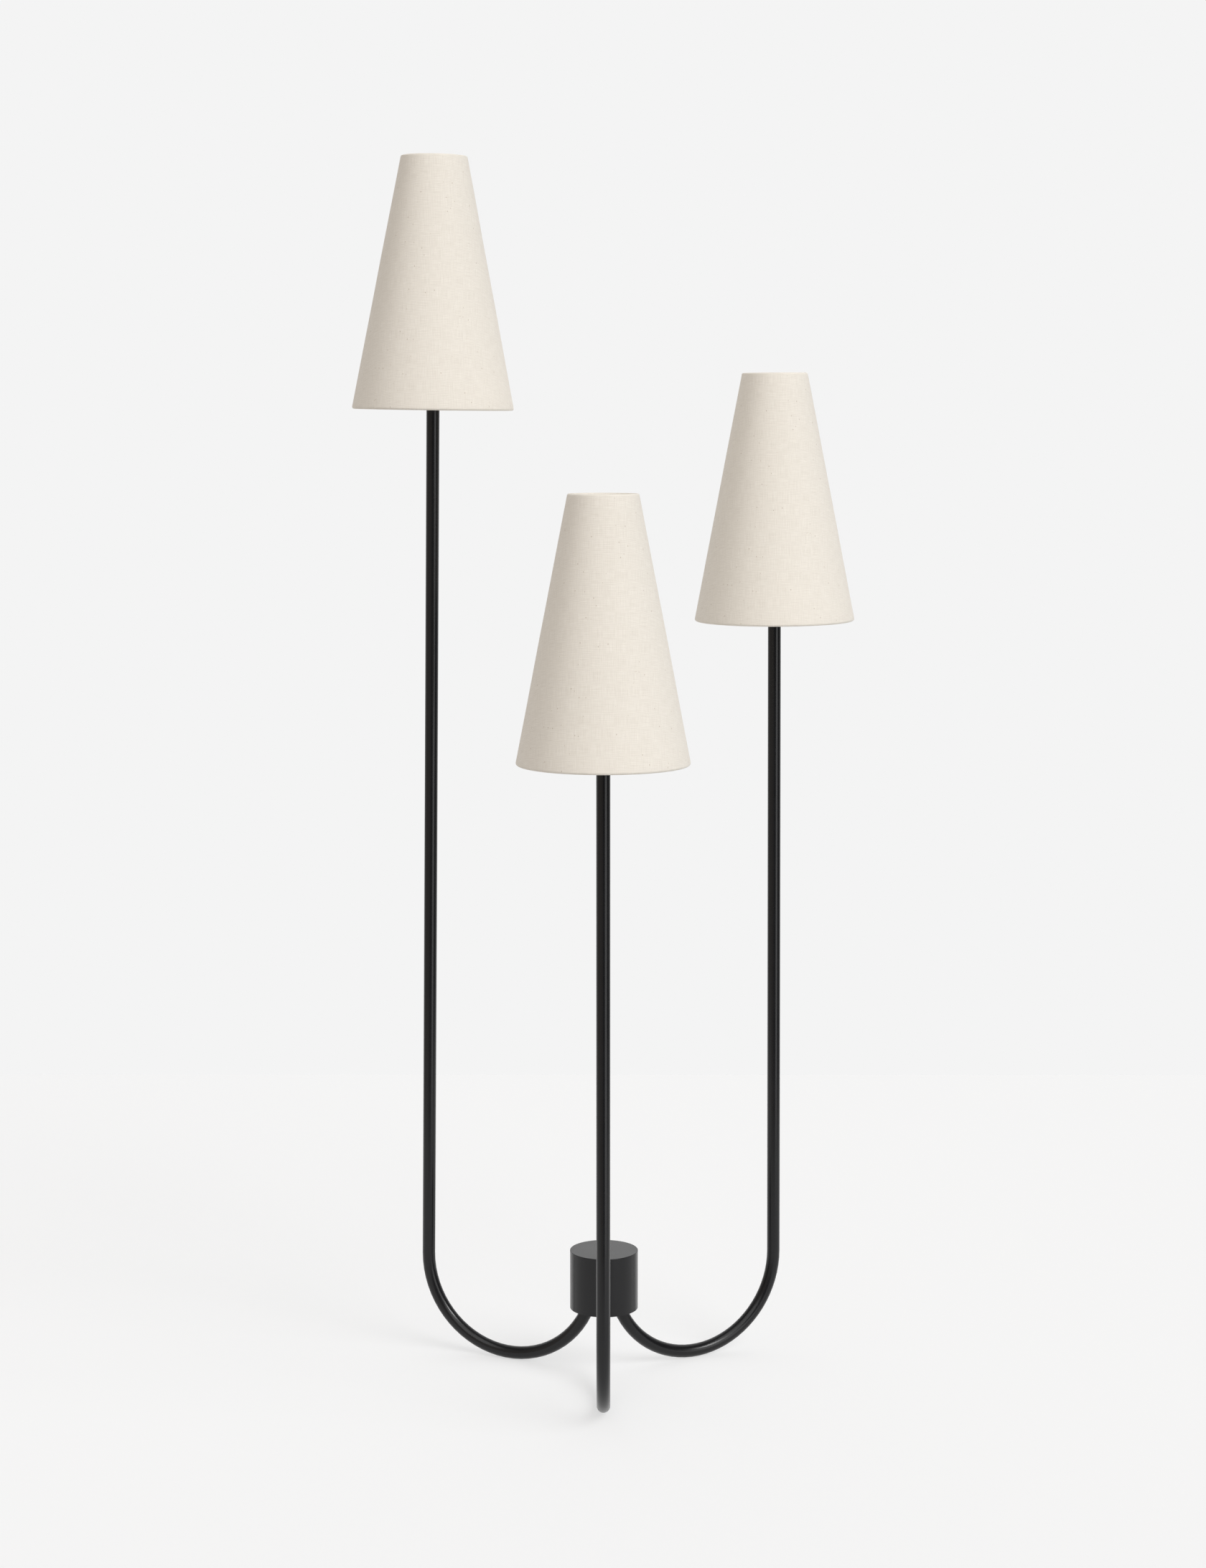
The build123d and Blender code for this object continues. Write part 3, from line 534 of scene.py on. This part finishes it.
def seam_strip(seam_direction):
    """The overlap where the cloth's two ends are glued: a narrow raised strip up the back."""
    strip = bmesh.new()
    rows = []
    for i in range(SLANT_STEPS + 1):
        along = BOTTOM_RING.lerp(TOP_RING, 0.004 + 0.992 * i / SLANT_STEPS)
        row = []
        for share, rise in SEAM_SECTION:
            reach = along + CONE_NORMAL * (ROLL_RADIUS + SEAM_RISE * rise)
            angle = seam_direction + share * SEAM_WIDTH / reach.x
            row.append(strip.verts.new((reach.x * math.cos(angle), reach.x * math.sin(angle), reach.y)))
        rows.append(row)
    for low, high in zip(rows, rows[1:]):
        count = len(low)
        for i in range(count):
            j = (i + 1) % count
            strip.faces.new((low[i], low[j], high[j], high[i]))
    strip.faces.new(rows[0])
    strip.faces.new(rows[-1])
    bmesh.ops.recalc_face_normals(strip, faces=strip.faces)
    mesh = bpy.data.meshes.new("seam")
    strip.to_mesh(mesh)
    strip.free()
    return mesh


def screw_cap():
    """A bulb's rolled cap: cone, rounded thread and a plain collar, closed at both ends."""
    cap = bmesh.new()
    steps_round = 60
    heights = [BULB_CAP_CONE * i / 4 for i in range(4)]
    thread_end = BULB_CAP_TOP - BULB_CAP_START - CAP_COLLAR
    rise = BULB_CAP_CONE
    while rise < thread_end:
        heights.append(rise)
        rise += SCREW_PITCH / 10
    heights += [thread_end + 0.2 * MM, BULB_CAP_TOP - BULB_CAP_START]
    root_radius = BULB_CAP_RADIUS - CAP_THREAD_DEPTH
    rings = []
    for height in heights:
        ring = []
        for i in range(steps_round):
            angle = 2 * math.pi * i / steps_round
            if height < BULB_CAP_CONE:
                radius = SOLDER_TIP_RADIUS + (root_radius - SOLDER_TIP_RADIUS) * height / BULB_CAP_CONE
            else:
                fade_in = (height - BULB_CAP_CONE) / CAP_RUN_OUT
                fade_out = max(0, thread_end - height) / CAP_RUN_OUT
                wave = 0.5 + 0.5 * math.cos(2 * math.pi * height / SCREW_PITCH - angle)
                radius = root_radius + CAP_THREAD_DEPTH * wave * min(1, fade_in, fade_out)
            lift = BULB_CAP_START + max(height, SOLDER_GAP)
            ring.append(cap.verts.new((radius * math.cos(angle), radius * math.sin(angle), lift)))
        rings.append(ring)
    for low, high in zip(rings, rings[1:]):
        for i in range(steps_round):
            j = (i + 1) % steps_round
            cap.faces.new((low[i], low[j], high[j], high[i]))
    cap.faces.new(rings[0][::-1])
    cap.faces.new(rings[-1])
    bmesh.ops.recalc_face_normals(cap, faces=cap.faces)
    mesh = bpy.data.meshes.new("screw_cap")
    cap.to_mesh(mesh)
    cap.free()
    return mesh


for number, arm in enumerate(ARMS):
    place = head_matrix(arm)
    away = place.to_3x3().inverted() @ Vector((0, 1, 0))
    seam_direction = math.atan2(away.y, away.x)

    cloth_mesh = grow(
        outline_mesh(section_points),
        sweep_round,
        {"Path radius": path_radius, "Steps round": ROUND_STEPS, "Cloth": finishes["linen"]},
    )
    outward_faces(cloth_mesh)
    lay_flat(cloth_mesh, seam_direction)
    stray(cloth_mesh, number * WAVER_STEP)
    cloth_mesh.transform(place)
    cover = as_piece("linen_cover_" + arm, cloth_mesh)

    strip_mesh = seam_strip(seam_direction)
    lay_flat(strip_mesh, seam_direction)
    stray(strip_mesh, number * WAVER_STEP)
    strip_mesh.transform(place)
    strip = as_piece("linen_seam_" + arm, strip_mesh, finishes["linen"])

    for piece in (cover, strip):
        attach(piece, "shade_" + arm)
    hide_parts("shade_cover_" + arm)

    cap_mesh = screw_cap()
    cap_mesh.transform(place)
    cap = as_piece("screw_cap_" + arm, cap_mesh, finishes["bulb_cap_metal"])
    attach(cap, "bulb_" + arm)
    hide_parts("bulb_cap_" + arm)

    crest_mesh = grow(
        bpy.data.meshes.new("seed"),
        helix,
        {
            "Thread radius": SKIRT_RADIUS - CREST_SINK,
            "Length": SKIRT_TOP - SKIRT_START,
            "Turns": (SKIRT_TOP - SKIRT_START) / CREST_PITCH,
            "Crest radius": CREST_RADIUS,
            "Metal": finishes["black_steel"],
        },
    )
    outward_faces(crest_mesh)
    crest_mesh.transform(place @ Matrix.Translation((0, 0, SKIRT_START)))
    crest = as_piece("skirt_thread_" + arm, crest_mesh)
    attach(crest, "frame")


# ---------------------------------------------------------------- studio

# A sheet of pale paper lies under the lamp. It ends not far from it, so that the arms mirror the
# dim room beyond, and it shows the same tone as the room.
PAPER_HALF_WIDTH = 1.4
PAPER_FRONT = -0.85
PAPER_BACK = 1.6
ROOM_TONE = "#f4f4f4"
PAPER_SHADE = (0.47, 0.47, 0.47, 1.0)
PAPER_GLOW = 0.596  # the part of the paper's brightness that shadows don't reach

floor_mesh = bpy.data.meshes.new("studio_floor")
floor_mesh.from_pydata(
    [
        (-PAPER_HALF_WIDTH, PAPER_FRONT, 0),
        (PAPER_HALF_WIDTH, PAPER_FRONT, 0),
        (PAPER_HALF_WIDTH, PAPER_BACK, 0),
        (-PAPER_HALF_WIDTH, PAPER_BACK, 0),
    ],
    [],
    [(0, 1, 2, 3)],
)
floor = bpy.data.objects.new("studio_floor", floor_mesh)
bpy.context.scene.collection.objects.link(floor)
paper, paper_tree, paper_shader = new_finish(
    "matt_white_paper", Roughness=1.0, Specular_IOR_Level=0.0, Emission_Strength=PAPER_GLOW
)
paper_shader.inputs["Base Color"].default_value = PAPER_SHADE
paper_shader.inputs["Emission Color"].default_value = (1.0, 1.0, 1.0, 1.0)
floor_mesh.materials.append(paper)


def receivers(name, link_state):
    """What a light may light: the paper alone, or all but the paper."""
    lit_by_it = bpy.data.collections.new(name)
    lit_by_it.objects.link(floor)
    lit_by_it.collection_objects[0].light_linking.link_state = link_state
    return lit_by_it


on_the_paper = receivers("on_the_paper", "INCLUDE")
off_the_paper = receivers("off_the_paper", "EXCLUDE")


def sunlight(name, bearing, height, spread, strength, lights):
    """A far, wide, soft light, so many degrees right of the camera and above the floor."""
    lamp = bpy.data.lights.new(name, "SUN")
    lamp.angle = math.radians(spread)
    lamp.energy = strength
    side, up = math.radians(bearing), math.radians(height)
    towards = Vector((math.sin(side) * math.cos(up), -math.cos(side) * math.cos(up), math.sin(up)))
    holder = bpy.data.objects.new(name, lamp)
    holder.rotation_euler = towards.to_track_quat("Z", "Y").to_euler()
    bpy.context.scene.collection.objects.link(holder)
    holder.light_linking.receiver_collection = lights


sunlight("key_light", 50.0, 42.0, 15.0, 0.9, off_the_paper)
sunlight("high_front_light", 0.0, 52.0, 60.0, 1.4, off_the_paper)
sunlight("soft_key_on_the_paper", 50.0, 42.0, 42.0, 1.0, on_the_paper)

# The room: bright behind the lamp, dim in front of it, with a tall soft window at the right,
# which draws the narrow streak down the arms, and a faint warm screen at the left. The camera
# itself sees one even tone.
world = bpy.data.worlds.new("studio_room")
bpy.context.scene.world = world
world.use_nodes = True
room = world.node_tree
for node in list(room.nodes):
    room.nodes.remove(node)
direction = add(room, "ShaderNodeTexCoord").outputs["Generated"]
axes = add(room, "ShaderNodeSeparateXYZ", {"Vector": direction}).outputs


def ramp(value, low, high, start, end):
    """A smooth step from start to end, as value goes from low to high."""
    limits = {"Value": value, "From Min": low, "From Max": high, "To Min": start, "To Max": end}
    return add(room, "ShaderNodeMapRange", limits, interpolation_type="SMOOTHSTEP").outputs["Result"]


def toward(*way):
    """How nearly a direction points the given way: 1 is dead on."""
    meeting = add(room, "ShaderNodeVectorMath", {0: direction, 1: way}, operation="DOT_PRODUCT")
    return meeting.outputs["Value"]


def both(operation, first, second):
    """One sum of two values, by the name of its operation."""
    return add(room, "ShaderNodeMath", {0: first, 1: second}, operation=operation).outputs[0]


behind = ramp(axes["Y"], 0.0, 0.85, 0.13, 0.92)
# The window runs from 24 degrees under the horizon to 51 degrees over it, 45 degrees to the right.
level_reach = both("SQRT", both("SUBTRACT", 1.0, both("MULTIPLY", axes["Z"], axes["Z"])), 0.0)
window_bearing = both("DIVIDE", toward(0.707, -0.707, 0.0), level_reach)
window_height = both("MULTIPLY", ramp(axes["Z"], -0.5, -0.3, 0.0, 1.0), ramp(axes["Z"], 0.65, 0.9, 1.0, 0.0))
window = both("MULTIPLY", ramp(window_bearing, 0.95, 0.985, 0.0, 2.1), window_height)
cool = both("ADD", behind, window)
left_screen = ramp(toward(-0.87, -0.48, -0.1), 0.3, 0.95, 0.0, 0.4)
light = add(
    room, "ShaderNodeVectorMath", {0: left_screen, 1: (1.0, 0.88, 0.77), 2: cool}, operation="MULTIPLY_ADD"
)
lit = add(room, "ShaderNodeBackground", {"Color": light.outputs["Vector"], "Strength": 1.0})
seen = add(room, "ShaderNodeBackground", {"Color": linear(ROOM_TONE), "Strength": 1.0})
camera_ray = add(room, "ShaderNodeLightPath").outputs["Is Camera Ray"]
by_eye = add(room, "ShaderNodeMixShader", {"Fac": camera_ray, 1: lit.outputs[0], 2: seen.outputs[0]})
add(room, "ShaderNodeOutputWorld", {"Surface": by_eye.outputs[0]})

# Camera, fitted to the photograph: eye height, distance, tilt and focal length.
camera = bpy.data.cameras.new("photo_camera")
camera.sensor_width = 36.0
camera.lens = 65.86
camera_holder = bpy.data.objects.new("photo_camera", camera)
camera_holder.location = (0.0119, -3.4428, 1.1895)
camera_holder.rotation_euler = (math.radians(90 - 7.49), 0.0, math.radians(0.218))
bpy.context.scene.collection.objects.link(camera_holder)
bpy.context.scene.camera = camera_holder
bpy.context.scene.view_settings.view_transform = "Standard"
